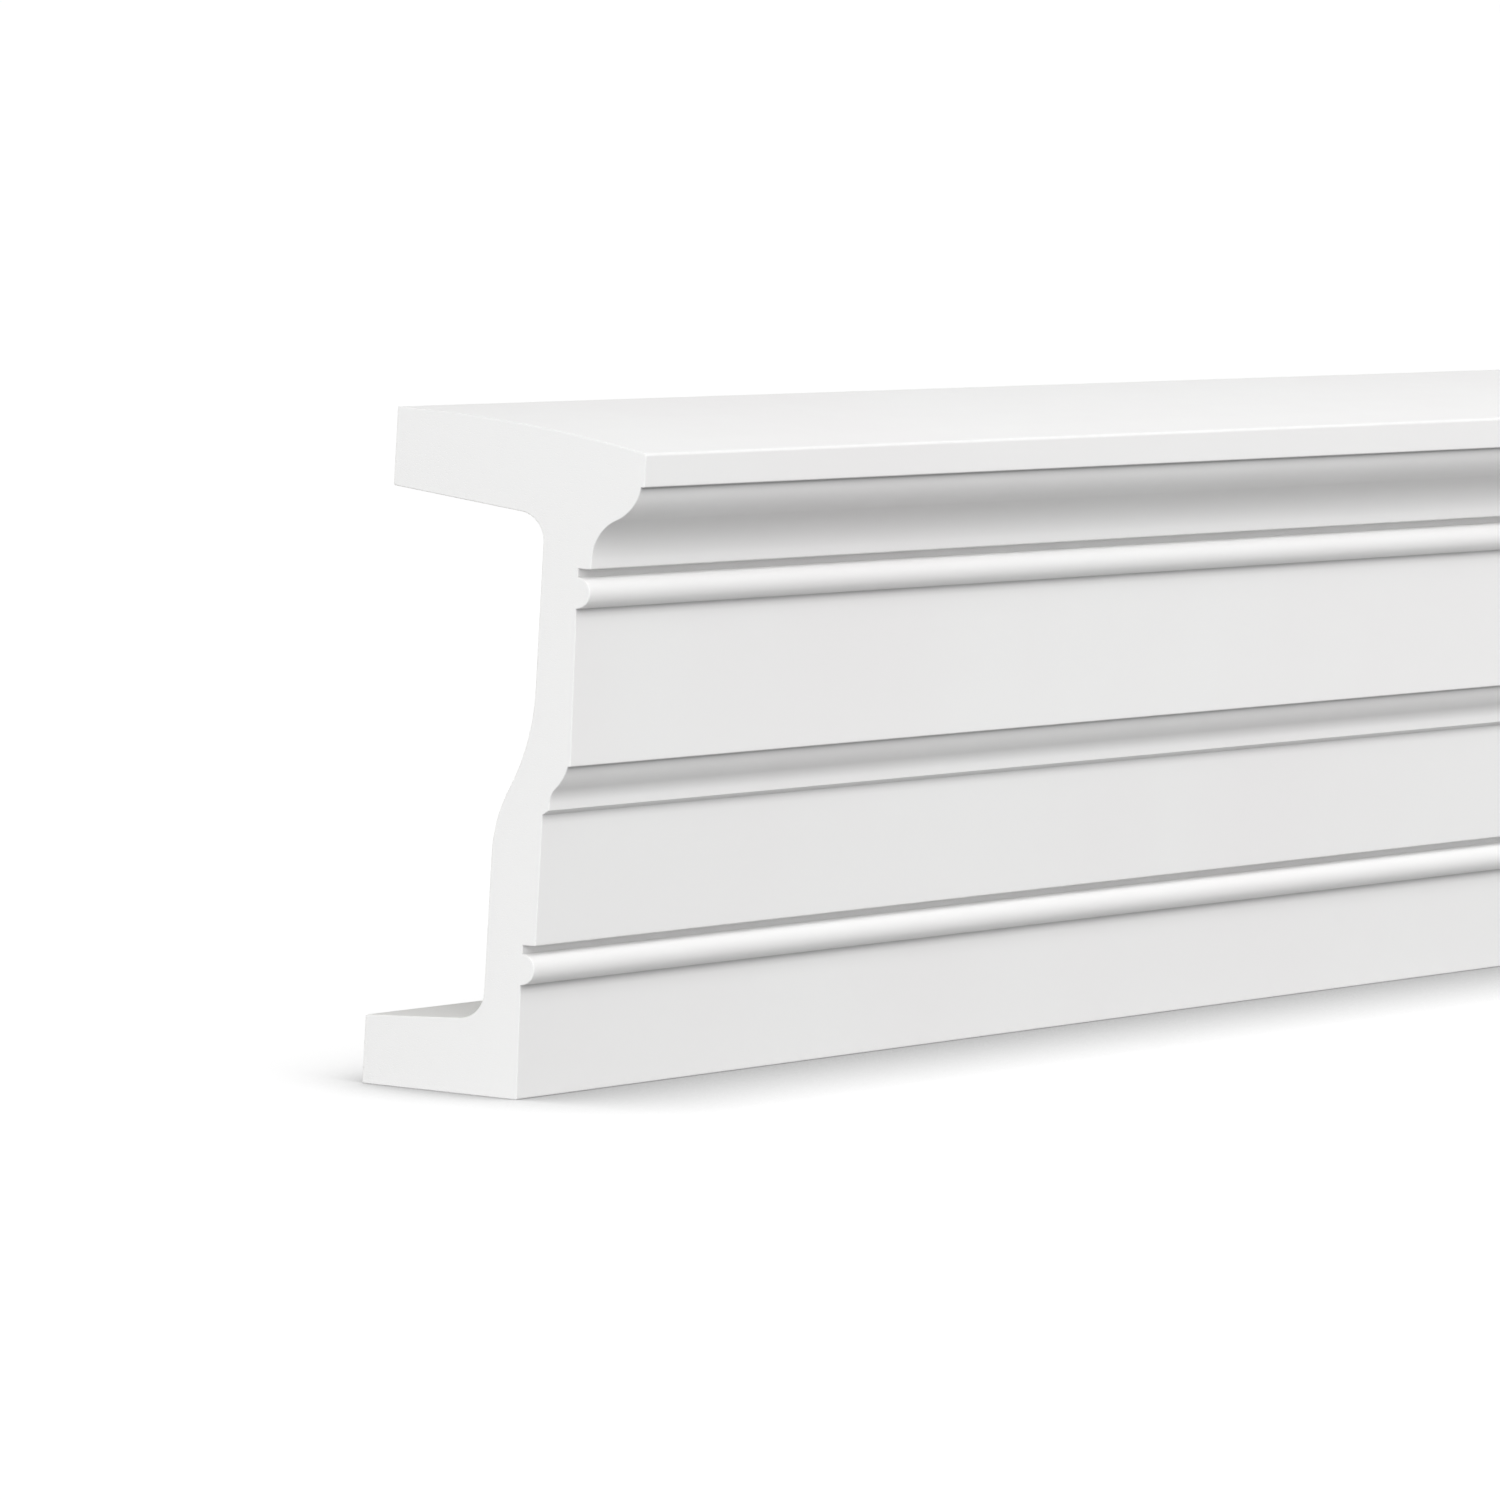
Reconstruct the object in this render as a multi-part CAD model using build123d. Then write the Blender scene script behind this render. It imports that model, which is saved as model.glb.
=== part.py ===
from build123d import *
from math import radians, tan
import os

# Exterior architrave moulding: one length of rigid foam stock, cut square at both ends.
# Millimetres. X runs along the stock, +Y points to the wall and +Z is up.
# The section is drawn as (depth out from the wall, height above the foot).

# Overall sizes
length = 2000.0
height = 250.0  # at the wall
base_depth = 65.1  # wall to the foot of the lower fascia

# Fascias; the upper one takes the height that the other members leave
lower_fascia_height = 42.1
middle_fascia_height = 48.3
fascia_lean = 1.15  # degrees that the lower and the upper fascia lean back

# Round beads, each with a quirk (a narrow groove) above it
bead_projection = 5.3
bead_height = 11.7
quirk_height = 3.1

# Step between the middle and the upper fascia: sloping ledge, small ogee, overhang
ledge_depth = 2.6
ledge_rise = 1.9
step_land = 2.8  # upright strip below the curve
step_run = 6.9
step_rise = 13.7
step_hollow = (2.0, 5.1)  # run and rise of the curve's hollow foot
step_overhang = 1.0

# Crown: large ogee, top fillet and weathered top
crown_land = 4.0
crown_run = 18.9
crown_rise = 27.4
crown_hollow = (9.1, 14.5)
fillet_overhang = 1.3
fillet_height = 12.5
weathering_fall = 9.8  # the top is level at the wall and drops this much to its front edge

# Hollow back: a web of even thickness between two tapered flanges
web_thickness = 15.1  # behind the tops of the lower and the upper fascia
lower_flange_tip = 25.5  # thickness at the wall
lower_flange_root = 28.5  # thickness at the web
upper_flange_tip = 28.9
upper_flange_root = 35.6
lower_corner_radius = 10.5
upper_corner_radius = 11.0
bend_drop = 15.7  # the web starts to swing forward this far below the middle fascia's top
bend_rise = 61.0
bend_hollow_share = 0.4  # part of the bend taken by its hollow foot

# Edges
arris_radius = 0.6
front_edge_radius = 1.4

# Heights of the members, the lower ones from the foot up and the crown from the top down
middle_foot = lower_fascia_height + bead_height + quirk_height
middle_top = middle_foot + middle_fascia_height
step_foot = middle_top + ledge_rise
step_curve_foot = step_foot + step_land
upper_foot = step_curve_foot + step_rise
front_edge = height - weathering_fall
fillet_foot = front_edge - fillet_height
crown_curve_foot = fillet_foot - crown_rise
crown_foot = crown_curve_foot - crown_land
upper_top = crown_foot - quirk_height - bead_height
bend_foot = middle_top - bend_drop
bend_top = bend_foot + bend_rise

# Depths of the faces, with each bead flush with the member above it
lower_top_depth = base_depth - lower_fascia_height * tan(radians(fascia_lean))
middle_depth = lower_top_depth + bead_projection
step_depth = middle_depth + ledge_depth
step_top_depth = step_depth + step_run
upper_depth = step_top_depth + step_overhang
upper_top_depth = upper_depth - (upper_top - upper_foot) * tan(radians(fascia_lean))
crown_depth = upper_top_depth + bead_projection
crown_top_depth = crown_depth + crown_run
front_depth = crown_top_depth + fillet_overhang
lower_web = lower_top_depth - web_thickness
upper_web = upper_top_depth - web_thickness

# Corners of the hollow before they are rounded
lower_corner = (lower_web, lower_flange_root)
upper_corner = (upper_web, height - upper_flange_root)


def bead_and_quirk(face, foot):
    """Round bead on a fascia, then the quirk that parts it from the member above."""
    front = face + bead_projection
    top = foot + bead_height
    ThreePointArc((face, foot), (front, foot + bead_height / 2), (face, top))
    Polyline((face, top), (face, top + quirk_height), (front, top + quirk_height))


def ogee(foot, hollow, whole):
    """S-curve, upright at its foot, from the (run, rise) of its hollow arc and of the whole curve."""
    start = Vector(foot)
    lower = TangentArc(start, start + Vector(hollow), tangent=(0, 1))
    TangentArc(start + Vector(hollow), start + Vector(whole), tangent=lower % 1)


def round_corners(radius, *corners):
    """Round the corners of the section at the given points."""
    fillet([vertices().sort_by_distance(corner)[0] for corner in corners], radius)


section_plane = Plane(origin=(0, 0, 0), x_dir=(0, -1, 0), z_dir=(-1, 0, 0))

with BuildPart() as moulding:
    with BuildSketch(section_plane):
        with BuildLine():
            # Front, from the foot up
            Polyline((0, 0), (base_depth, 0), (lower_top_depth, lower_fascia_height))
            bead_and_quirk(lower_top_depth, lower_fascia_height)
            Line((middle_depth, middle_foot), (middle_depth, middle_top))
            Polyline((middle_depth, middle_top), (step_depth, step_foot), (step_depth, step_curve_foot))
            ogee((step_depth, step_curve_foot), step_hollow, (step_run, step_rise))
            Polyline((step_top_depth, upper_foot), (upper_depth, upper_foot), (upper_top_depth, upper_top))
            bead_and_quirk(upper_top_depth, upper_top)
            Line((crown_depth, crown_foot), (crown_depth, crown_curve_foot))
            ogee((crown_depth, crown_curve_foot), crown_hollow, (crown_run, crown_rise))
            Polyline((crown_top_depth, fillet_foot), (front_depth, fillet_foot), (front_depth, front_edge))
            TangentArc((0, height), (front_depth, front_edge), tangent=(1, 0))
            # Back, from the top down
            Polyline((0, height), (0, height - upper_flange_tip), upper_corner, (upper_web, bend_top))
            bend = (upper_web - lower_web, bend_rise)
            ogee((lower_web, bend_foot), Vector(bend) * bend_hollow_share, bend)
            Polyline((lower_web, bend_foot), lower_corner, (0, lower_flange_tip), (0, 0))
        make_face()
        round_corners(lower_corner_radius, lower_corner)
        round_corners(upper_corner_radius, upper_corner)
        round_corners(front_edge_radius, (front_depth, front_edge))
        round_corners(arris_radius, (0, 0), (base_depth, 0), (middle_depth, middle_foot),
                      (upper_depth, upper_foot), (crown_depth, crown_foot), (front_depth, fillet_foot),
                      (0, height - upper_flange_tip), (0, lower_flange_tip))
    extrude(amount=length / 2, both=True)

# Move the stock out from the wall plane, so that its middle stands over the origin
stock = Pos(0, moulding.part.bounding_box().size.Y / 2, 0) * moulding.part

os.makedirs("parts", exist_ok=True)
export_step(stock, "parts/architrave_moulding.step")
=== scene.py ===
import math

import bmesh
import bpy
from mathutils import Matrix, Vector
from mathutils.geometry import delaunay_2d_cdt


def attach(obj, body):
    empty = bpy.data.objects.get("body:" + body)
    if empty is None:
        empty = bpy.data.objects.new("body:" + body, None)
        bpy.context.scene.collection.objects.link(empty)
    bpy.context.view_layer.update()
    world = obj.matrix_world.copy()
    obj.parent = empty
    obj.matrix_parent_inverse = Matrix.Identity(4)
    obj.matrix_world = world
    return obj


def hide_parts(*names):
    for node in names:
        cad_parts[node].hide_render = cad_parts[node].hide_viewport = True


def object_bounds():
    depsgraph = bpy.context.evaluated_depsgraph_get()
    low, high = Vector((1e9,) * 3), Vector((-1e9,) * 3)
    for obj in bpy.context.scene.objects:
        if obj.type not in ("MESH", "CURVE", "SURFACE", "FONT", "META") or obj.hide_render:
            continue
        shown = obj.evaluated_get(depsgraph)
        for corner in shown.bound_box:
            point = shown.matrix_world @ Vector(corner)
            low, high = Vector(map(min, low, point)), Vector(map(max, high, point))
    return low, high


# Looks of the exterior architrave moulding: a fine mesh of its section, the finish of the
# primed foam, the cut ends and the cast back, and a plain white studio.

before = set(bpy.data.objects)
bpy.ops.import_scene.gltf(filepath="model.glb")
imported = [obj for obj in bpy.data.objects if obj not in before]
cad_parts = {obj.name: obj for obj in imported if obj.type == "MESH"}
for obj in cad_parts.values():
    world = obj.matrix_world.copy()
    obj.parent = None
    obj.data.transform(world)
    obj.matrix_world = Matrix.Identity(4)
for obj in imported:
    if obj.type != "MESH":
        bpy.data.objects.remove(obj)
cad_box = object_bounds()

MM = 0.001
SQUARE = math.radians(90)

# Section of the stock in millimetres, the same sizes as in the part's source.
# It is drawn as (depth out from the wall, height above the foot).
length = 2000.0
height = 250.0
base_depth = 65.1
lower_fascia_height = 42.1
middle_fascia_height = 48.3
fascia_lean = math.radians(1.15)

bead_projection = 5.3
bead_height = 11.7
quirk_height = 3.1

ledge_depth = 2.6
ledge_rise = 1.9
step_land = 2.8
step_run = 6.9
step_rise = 13.7
step_hollow = Vector((2.0, 5.1))
step_overhang = 1.0

crown_land = 4.0
crown_run = 18.9
crown_rise = 27.4
crown_hollow = Vector((9.1, 14.5))
fillet_overhang = 1.3
fillet_height = 12.5
weathering_fall = 9.8

web_thickness = 15.1
lower_flange_tip = 25.5
lower_flange_root = 28.5
upper_flange_tip = 28.9
upper_flange_root = 35.6
lower_corner_radius = 10.5
upper_corner_radius = 11.0
bend_drop = 15.7
bend_rise = 61.0
bend_hollow_share = 0.4

arris_radius = 0.6
front_edge_radius = 1.4

# Heights and depths that follow from those sizes
middle_foot = lower_fascia_height + bead_height + quirk_height
middle_top = middle_foot + middle_fascia_height
step_foot = middle_top + ledge_rise
step_curve_foot = step_foot + step_land
upper_foot = step_curve_foot + step_rise
front_edge = height - weathering_fall
fillet_foot = front_edge - fillet_height
crown_curve_foot = fillet_foot - crown_rise
crown_foot = crown_curve_foot - crown_land
upper_top = crown_foot - quirk_height - bead_height
bend_foot = middle_top - bend_drop

lower_top_depth = base_depth - lower_fascia_height * math.tan(fascia_lean)
middle_depth = lower_top_depth + bead_projection
step_depth = middle_depth + ledge_depth
step_top_depth = step_depth + step_run
upper_depth = step_top_depth + step_overhang
upper_top_depth = upper_depth - (upper_top - upper_foot) * math.tan(fascia_lean)
crown_depth = upper_top_depth + bead_projection
crown_top_depth = crown_depth + crown_run
front_depth = crown_top_depth + fillet_overhang
lower_web = lower_top_depth - web_thickness
upper_web = upper_top_depth - web_thickness

# Fineness of the mesh, in millimetres
arc_step = math.radians(4)
fewest_arc_steps = 6
guard_gaps = (0.4, 1.0, 2.0, 3.5)  # rows this far from a corner keep wear and painted shade close to it
station_gap = 25.0  # rows along the stock
cut_radius = 0.35  # the saw leaves the ends' edges this soft
cut_steps = 3
cut_guard = 1.0  # a row this far behind the soft edge keeps its wear close to it
merge_distance = 0.001
crease_angle = math.radians(32)  # sharper edges than this stay crisp
big_face_weight = 100  # the big faces set the shading normals

# Wear on the edges, and painted shade (a darker colour) in the inner corners
bend_reach = 6.0  # they fade out this far, in millimetres, from an edge or a corner
wear_fade = 4  # the higher, the closer the wear stays to its edge
painted_shade_fade = 3  # the higher, the closer the painted shade stays to its corner
bead_painted_shade = 0.55  # painted shade in the corner below a bead, where 1 is that under an overhang
# painted shade in a quirk and in the corner above the ledge, on the same scale
quirk_painted_shade = 0.2
ledge_painted_shade = 0.55

# Materials of the piece, in the order of its slots
PRIMED, CUT, CAST = range(3)

# Patterns of the finishes: scales per metre, and the part of the noise's range that is used
blotch_scale = 7.0
blotch_range = (0.35, 0.68)
speckle_scale = 900.0
speckle_range = (0.3, 0.7)
speckle_share = 0.25
scuff_scale = 160.0
scuff_range = (0.4, 0.65)
least_scuff = 0.35
least_wear = 0.35  # less wear than this doesn't show
sheen_scale = 60.0
sheen_range = (0.3, 0.7)

# Camera of the photograph
camera_lens = 300.0
camera_sensor = 36.0
camera_place = (-5.0015, -2.1916, 0.4751)
camera_direction = (0.88387, 0.46171, -0.07486)
camera_roll = math.radians(3.16)
camera_reach = 200.0

# Studio
floor_size = 300.0
floor_shown = (0.2, 0.2, 0.2, 1)
floor_glow = 0.89
painted_shadow_reach = 0.088  # the floor's painted contact shadow reaches this far from the stock
painted_shadow_samples = 6
floor_bounce = (0.36, 0.36, 0.36, 1)
world_light = 0.435
WHITE = (1, 1, 1, 1)
BLACK = (0, 0, 0, 1)


def arc(start, end, tangent):
    """Points after start of the arc that leaves it along tangent and ends at end."""
    start = Vector(start)
    tangent = Vector(tangent).normalized()
    chord = Vector(end) - start
    side = Vector((-tangent.y, tangent.x))
    sweep = 2 * math.atan2(chord.dot(side), chord.dot(tangent))
    centre = start + side * chord.length_squared / (2 * chord.dot(side))
    steps = max(fewest_arc_steps, math.ceil(abs(sweep) / arc_step))
    return [centre + Matrix.Rotation(sweep * n / steps, 2) @ (start - centre) for n in range(1, steps + 1)]


def bead(face, foot):
    """Round bead on a fascia, without its two corners."""
    spread = 2 * math.atan2(bead_projection, bead_height / 2)
    return arc((face, foot), (face, foot + bead_height), (math.sin(spread), math.cos(spread)))[:-1]


def ogee(foot, hollow, whole):
    """S-curve, upright at its foot, from the run and rise of its hollow arc and of the whole curve."""
    foot = Vector(foot)
    middle = foot + hollow
    lean = math.atan2(-hollow.x, hollow.y)
    onward = Matrix.Rotation(2 * lean, 2) @ Vector((0, 1))
    return [foot] + arc(foot, middle, (0, 1)) + arc(middle, foot + whole, onward)


def rounded(before, corner, after, radius):
    """Arc that rounds the corner between two straight runs."""
    back = (before - corner).normalized()
    ahead = (after - corner).normalized()
    reach = radius / math.tan(back.angle(ahead) / 2)
    start = corner + back * reach
    return [start] + arc(start, corner + ahead * reach, -back)


def section():
    """The closed outline from the foot at the wall round the front, as (point, material, share of painted
    shade).
    """
    corners = []

    def add(points, radius=0.0, material=PRIMED, painted_shade=1.0):
        corners.extend((Vector(point), radius, material, painted_shade) for point in points)

    def add_bead_and_quirk(face, foot):
        top = foot + bead_height
        add([(face, foot)], painted_shade=bead_painted_shade)
        add(bead(face, foot))
        add([(face, top), (face, top + quirk_height)], painted_shade=quirk_painted_shade)

    # Front, from the foot up
    add([(0, 0), (base_depth, 0)], arris_radius)
    add_bead_and_quirk(lower_top_depth, lower_fascia_height)
    add([(middle_depth, middle_foot)], arris_radius)
    add([(middle_depth, middle_top)], painted_shade=ledge_painted_shade)
    add([(step_depth, step_foot)])
    add(ogee((step_depth, step_curve_foot), step_hollow, Vector((step_run, step_rise))))
    add([(upper_depth, upper_foot)], arris_radius)
    add_bead_and_quirk(upper_top_depth, upper_top)
    add([(crown_depth, crown_foot)], arris_radius)
    add(ogee((crown_depth, crown_curve_foot), crown_hollow, Vector((crown_run, crown_rise))))
    add([(front_depth, fillet_foot)], arris_radius)
    add([(front_depth, front_edge)], front_edge_radius)
    weathering = arc((0, height), (front_depth, front_edge), (1, 0))
    add(reversed(weathering[:-1]))

    # Back, from the top down
    add([(0, height)], material=CAST)
    add([(0, height - upper_flange_tip)], arris_radius, CAST)
    add([(upper_web, height - upper_flange_root)], upper_corner_radius, CAST)
    bend = Vector((upper_web - lower_web, bend_rise))
    add(reversed(ogee((lower_web, bend_foot), bend * bend_hollow_share, bend)), material=CAST)
    add([(lower_web, lower_flange_root)], lower_corner_radius, CAST)
    add([(0, lower_flange_tip)], arris_radius, CAST)

    outline = []
    for n, (corner, radius, material, painted_shade) in enumerate(corners):
        points = [corner]
        if radius:
            after = corners[(n + 1) % len(corners)][0]
            points = rounded(corners[n - 1][0], corner, after, radius)
        outline.extend((point, material, painted_shade) for point in points)
    return outline


def guarded(outline):
    """The outline with rows close to both ends of its straight runs."""
    rows = []
    for (here, material, painted_shade), (after, _, _) in zip(outline, outline[1:] + outline[:1]):
        run = after - here
        gaps = [gap for gap in guard_gaps if gap < run.length / 3]
        places = [0.0] + gaps + [run.length - gap for gap in reversed(gaps)]
        rows.extend((here + run.normalized() * place, material, painted_shade) for place in places)
    return rows


def neighbours(points):
    """Each point of the closed outline with the one before it and the one after it."""
    return zip(points[-1:] + points[:-1], points, points[1:] + points[:1])


def turns(points):
    """Signed turn of the closed outline at each point: positive on an edge, negative in a corner."""
    return [-(here - before).angle_signed(after - here) for before, here, after in neighbours(points)]


def within_reach(points, start, direction):
    """The points that follow start within bend_reach, as (index, distance along the outline)."""
    here = start
    distance = 0.0
    while True:
        after = (here + direction) % len(points)
        distance += (points[after] - points[here]).length
        if distance > bend_reach:
            return
        yield after, distance
        here = after


def wear_and_painted_shade(rows):
    """How worn each row is, and how much painted shade it takes: at most 1, on a square edge or in a
    square inner corner.

    The turns of a rounded edge add up. Of the inner corners the strongest counts, and its painted shade
    does not creep round an edge.
    """
    points = [point for point, _, _ in rows]
    turned = [turn if turn > 0 else turn * painted_shade for turn, (_, _, painted_shade) in zip(turns(points), rows)]
    result = []
    for n, own_turn in enumerate(turned):
        wear = max(0.0, own_turn)
        painted_shade = max(0.0, -own_turn)
        for direction in (1, -1):
            rounded_edges = max(0.0, own_turn)
            for k, distance in within_reach(points, n, direction):
                closeness = 1 - distance / bend_reach
                if turned[k] > 0:
                    wear += turned[k] * closeness ** wear_fade
                    rounded_edges += turned[k]
                else:
                    in_view = max(0.0, 1 - rounded_edges / SQUARE)
                    painted_shade = max(painted_shade, -turned[k] * in_view * closeness ** painted_shade_fade)
        result.append((min(1.0, wear / SQUARE), min(1.0, painted_shade / SQUARE)))
    return result


def inset(points, amount):
    """The outline moved into the stock by amount."""
    moved = []
    for before, here, after in neighbours(points):
        along = (here - before).normalized() + (after - here).normalized()
        inward = Vector((-along.y, along.x)).normalized()
        mitre = 2 / along.length
        moved.append(here + inward * amount * mitre)
    return moved


def stations():
    """Rows along the stock, as (place, how far the outline is drawn in, angle round the cut's edge)."""
    half = length / 2
    lip = []
    for n in range(cut_steps + 1):
        angle = SQUARE * n / cut_steps
        lip.append((cut_radius * (1 - math.cos(angle)), cut_radius * (1 - math.sin(angle)), angle))
    lip.append((cut_radius + cut_guard, 0.0, SQUARE))
    inner = half - cut_radius - cut_guard
    bays = round(2 * inner / station_gap)
    near_end = [(-half + place, draw, angle) for place, draw, angle in lip]
    middle = [(-inner + 2 * inner * n / bays, 0.0, SQUARE) for n in range(1, bays)]
    far_end = [(half - place, draw, angle) for place, draw, angle in reversed(lip)]
    return near_end + middle + far_end


def build_moulding():
    """Mesh of the stock: rows of the section from end to end, closed by the two cut faces."""
    rows = guarded(section())
    outline = [point for point, _, _ in rows]
    marks = wear_and_painted_shade(rows)
    wall = cad_box[1].y

    mesh = bmesh.new()
    # Per vertex: wear on the edges, and painted shade in the inner corners
    wear_layer = mesh.verts.layers.float.new("wear")
    painted_shade_layer = mesh.verts.layers.float.new("painted_shade")
    rings = []
    for place, draw, angle in stations():
        ring = []
        for point, (wear, painted_shade) in zip(inset(outline, draw) if draw else outline, marks):
            vert = mesh.verts.new((place * MM, wall - point.x * MM, point.y * MM))
            vert[wear_layer] = max(wear * math.sin(angle), math.sin(2 * angle))
            vert[painted_shade_layer] = painted_shade * math.sin(angle)
            ring.append(vert)
        rings.append(ring)

    count = len(outline)
    for left, right in zip(rings, rings[1:]):
        for n in range(count):
            after = (n + 1) % count
            face = mesh.faces.new((left[n], right[n], right[after], left[after]))
            face.material_index = rows[n][1]

    keep_inside = 1
    cut_outline = inset(outline, cut_radius)
    triangles = delaunay_2d_cdt(cut_outline, [], [list(range(count))], keep_inside, merge_distance)[2]
    for a, b, c in triangles:
        mesh.faces.new((rings[0][a], rings[0][b], rings[0][c])).material_index = CUT
        mesh.faces.new((rings[-1][c], rings[-1][b], rings[-1][a])).material_index = CUT
    for face in mesh.faces:
        face.smooth = True

    data = bpy.data.meshes.new("moulding")
    mesh.to_mesh(data)
    mesh.free()
    data.set_sharp_from_angle(angle=crease_angle)
    piece = bpy.data.objects.new("moulding", data)
    bpy.context.scene.collection.objects.link(piece)
    normals = piece.modifiers.new("normals", "WEIGHTED_NORMAL")
    normals.keep_sharp = True
    normals.weight = big_face_weight
    return piece


class Nodes:
    """Short calls for building a node tree."""

    def __init__(self, tree):
        self.tree = tree
        tree.nodes.clear()

    def feed(self, socket, value):
        """Link the socket to value where that is a socket too, or else set it."""
        if isinstance(value, bpy.types.NodeSocket):
            self.tree.links.new(value, socket)
        else:
            socket.default_value = value

    def node(self, kind, inputs=None, **settings):
        made = self.tree.nodes.new(kind)
        for name, value in settings.items():
            setattr(made, name, value)
        for name, value in (inputs or {}).items():
            self.feed(made.inputs[name], value)
        return made

    def noise(self, place, scale, detail):
        values = {"Vector": place, "Scale": scale, "Detail": detail}
        return self.node("ShaderNodeTexNoise", values).outputs["Fac"]

    def span(self, value, low, high, to_low=0.0, to_high=1.0):
        values = {"Value": value, "From Min": low, "From Max": high, "To Min": to_low, "To Max": to_high}
        return self.node("ShaderNodeMapRange", values).outputs["Result"]

    def mix(self, share, first, second):
        """Mix two colours. The node's colour sockets are numbers 6 and 7, and its result is number 2."""
        made = self.node("ShaderNodeMix", {0: share, 6: first, 7: second}, data_type="RGBA")
        return made.outputs[2]

    def maths(self, operation, first, second):
        return self.node("ShaderNodeMath", {0: first, 1: second}, operation=operation).outputs[0]


def finish_material(name, plain, blotch, edge, corner, grain, roughness, pores):
    """Procedural matt foam finish.

    plain, blotch, edge, corner: colours of the surface, its blotches, its worn edges and the painted shade
    in its inner corners.
    grain: scale per metre and depth in metres of the surface's fine relief.
    pores: scale per metre, share of the surface and depth in metres of the pinholes.
    """
    material = bpy.data.materials.new(name)
    material.use_nodes = True
    n = Nodes(material.node_tree)
    place = n.node("ShaderNodeTexCoord").outputs["Object"]
    wear = n.node("ShaderNodeAttribute", attribute_name="wear").outputs["Fac"]
    # Share of painted shade per vertex, highest in the inner corners
    painted_shade = n.node("ShaderNodeAttribute", attribute_name="painted_shade").outputs["Fac"]

    blotches = n.span(n.noise(place, blotch_scale, detail=3.0), *blotch_range)
    speckle = n.span(n.noise(place, speckle_scale, detail=1.0), *speckle_range)
    scuffs = n.span(n.noise(place, scuff_scale, detail=3.0), *scuff_range, to_low=least_scuff)
    worn = n.maths("MULTIPLY", n.span(wear, least_wear, 1.0), scuffs)
    colour = n.mix(blotches, (*plain, 1), (*blotch, 1))
    colour = n.mix(n.maths("MULTIPLY", speckle, speckle_share), colour, (*blotch, 1))
    colour = n.mix(worn, colour, (*edge, 1))
    # Painted shade: the inner corners are darkened toward the corner colour
    colour = n.mix(painted_shade, colour, (*corner, 1))

    grain_scale, grain_depth = grain
    relief = n.maths("MULTIPLY", n.noise(place, grain_scale, detail=3.0), grain_depth)
    pore_scale, pore_share, pore_depth = pores
    cells = n.node("ShaderNodeTexVoronoi", {"Vector": place, "Scale": pore_scale}).outputs["Distance"]
    pits = n.span(cells, 0.0, pore_share, to_low=pore_depth, to_high=0.0)
    relief = n.maths("SUBTRACT", relief, pits)
    normal = n.node("ShaderNodeBump", {"Height": relief, "Distance": 1.0, "Strength": 1.0})

    low, high = roughness
    sheen = n.span(n.noise(place, sheen_scale, detail=3.0), *sheen_range, to_low=low, to_high=high)
    shader = n.node("ShaderNodeBsdfPrincipled", {
        "Base Color": colour,
        "Roughness": sheen,
        "Normal": normal.outputs["Normal"],
        "IOR": 1.45,
        "Specular IOR Level": 0.3,
    })
    n.node("ShaderNodeOutputMaterial", {"Surface": shader.outputs["BSDF"]})
    return material


def by_ray(n, lighting, shown):
    """One shader for the rays that light the object and another for those that show the background."""
    path = n.node("ShaderNodeLightPath").outputs
    seen = n.maths("MAXIMUM", path["Is Camera Ray"], path["Is Glossy Ray"])
    seen = n.maths("MAXIMUM", seen, path["Is Transmission Ray"])
    return n.node("ShaderNodeMixShader", {0: seen, 1: lighting.outputs[0], 2: shown.outputs[0]}).outputs[0]


def build_floor():
    """White floor that keeps a soft shadow and sends little light back up. Near the stock, ambient
    occlusion paints its shown colour and glow darker: a painted contact shadow on top of the lamps' own
    shadow.
    """
    bpy.ops.mesh.primitive_plane_add(size=floor_size, location=(0, 0, 0))
    floor = bpy.context.object
    floor.name = "floor"
    material = bpy.data.materials.new("floor")
    material.use_nodes = True
    n = Nodes(material.node_tree)
    # Painted contact shadow: ambient occlusion darkens both the lit floor and its glow near the stock
    painted_shadow = n.node("ShaderNodeAmbientOcclusion", {"Distance": painted_shadow_reach}, samples=painted_shadow_samples)
    open_sky = painted_shadow.outputs["AO"]
    lit = n.node("ShaderNodeBsdfDiffuse", {"Color": n.mix(open_sky, BLACK, floor_shown)})
    glow = n.node("ShaderNodeEmission", {"Strength": n.maths("MULTIPLY", open_sky, floor_glow)})
    shown = n.node("ShaderNodeAddShader", {0: lit.outputs[0], 1: glow.outputs[0]})
    bounce = n.node("ShaderNodeBsdfDiffuse", {"Color": floor_bounce})
    n.node("ShaderNodeOutputMaterial", {"Surface": by_ray(n, bounce, shown)})
    floor.data.materials.append(material)


def build_world():
    """Even light from all round, seen as white."""
    world = bpy.data.worlds.new("studio")
    world.use_nodes = True
    n = Nodes(world.node_tree)
    light = n.node("ShaderNodeBackground", {"Color": WHITE, "Strength": world_light})
    white = n.node("ShaderNodeBackground", {"Color": WHITE, "Strength": 1.0})
    n.node("ShaderNodeOutputWorld", {"Surface": by_ray(n, light, white)})
    bpy.context.scene.world = world


def soft_light(name, source, strength, spread):
    """Even light from the direction of source, spread over that many degrees of the sky."""
    data = bpy.data.lights.new(name, "SUN")
    data.energy = strength
    data.angle = math.radians(spread)
    lamp = bpy.data.objects.new(name, data)
    lamp.rotation_euler = Vector(source).to_track_quat("Z", "Y").to_euler()
    bpy.context.scene.collection.objects.link(lamp)


def softbox(name, place, aim, width, depth, power):
    """Rectangular lamp that faces the point aim."""
    data = bpy.data.lights.new(name, "AREA")
    data.shape = "RECTANGLE"
    data.size = width
    data.size_y = depth
    data.energy = power
    lamp = bpy.data.objects.new(name, data)
    lamp.location = place
    lamp.rotation_euler = (Vector(place) - Vector(aim)).to_track_quat("Z", "Y").to_euler()
    lamp.visible_camera = False
    bpy.context.scene.collection.objects.link(lamp)


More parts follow.
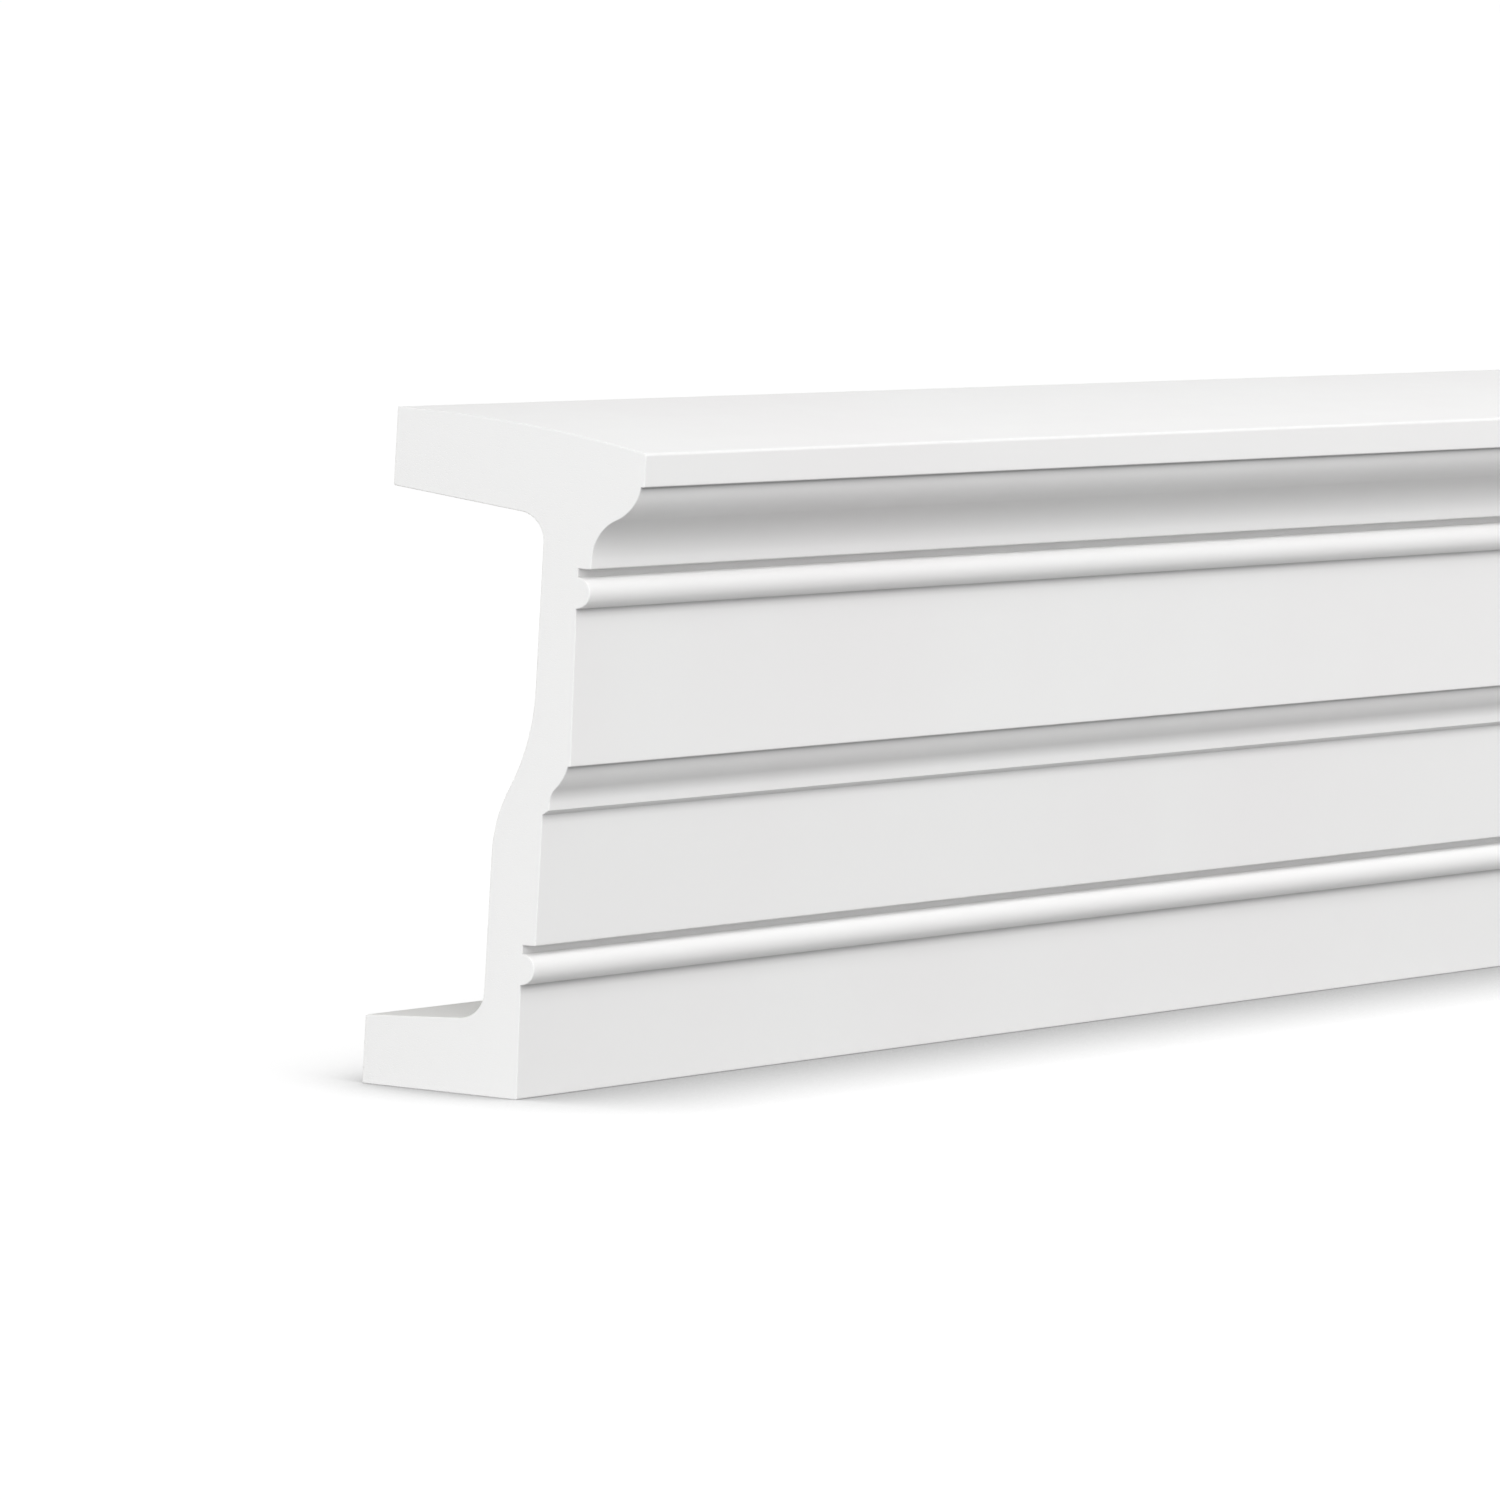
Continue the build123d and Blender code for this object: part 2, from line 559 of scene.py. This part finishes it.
def build_camera():
    """The camera that took the photograph."""
    data = bpy.data.cameras.new("camera")
    data.lens = camera_lens
    data.sensor_width = camera_sensor
    data.clip_end = camera_reach
    camera = bpy.data.objects.new("camera", data)
    camera.location = camera_place
    aim = Vector(camera_direction).to_track_quat("-Z", "Y").to_matrix()
    camera.rotation_euler = (aim @ Matrix.Rotation(camera_roll, 3, "Z")).to_euler()
    bpy.context.scene.collection.objects.link(camera)
    bpy.context.scene.camera = camera


piece = build_moulding()
# In each finish, corner is the colour of the painted shade in the inner corners
for material in (
    finish_material(
        "primed_skin",
        plain=(0.86, 0.86, 0.855),
        blotch=(0.85, 0.842, 0.84),
        edge=(0.8, 0.8, 0.795),
        corner=(0.3, 0.3, 0.305),
        grain=(1100.0, 0.00001),
        roughness=(0.58, 0.68),
        pores=(220.0, 0.02, 0.00002),
    ),
    finish_material(
        "cut_foam",
        plain=(0.875, 0.875, 0.872),
        blotch=(0.867, 0.867, 0.862),
        edge=(0.86, 0.86, 0.855),
        corner=(0.6, 0.6, 0.6),
        grain=(2600.0, 0.00003),
        roughness=(0.7, 0.85),
        pores=(1400.0, 0.35, 0.00004),
    ),
    finish_material(
        "cast_back",
        plain=(0.865, 0.863, 0.852),
        blotch=(0.825, 0.82, 0.8),
        edge=(0.85, 0.85, 0.84),
        corner=(0.7, 0.7, 0.69),
        grain=(420.0, 0.0001),
        roughness=(0.6, 0.8),
        pores=(170.0, 0.12, 0.0003),
    ),
):
    piece.data.materials.append(material)
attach(piece, "root")
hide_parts("architrave_moulding")

build_floor()
build_world()
# The back and the far-end lamp light the faces that the photograph doesn't show
soft_light("side", source=(-0.85, -0.45, 0.27), strength=2.1, spread=40)
soft_light("back", source=(-0.1, 0.99, 0.1), strength=0.75, spread=16)
softbox("front", place=(0, -0.85, 1.13), aim=(0, -0.03, 0.13), width=4.0, depth=0.8, power=15.4)
softbox("far end", place=(1.7, -0.05, 0.25), aim=(1, 0, 0.12), width=0.4, depth=0.4, power=1.4)
build_camera()
bpy.context.scene.view_settings.view_transform = "Standard"
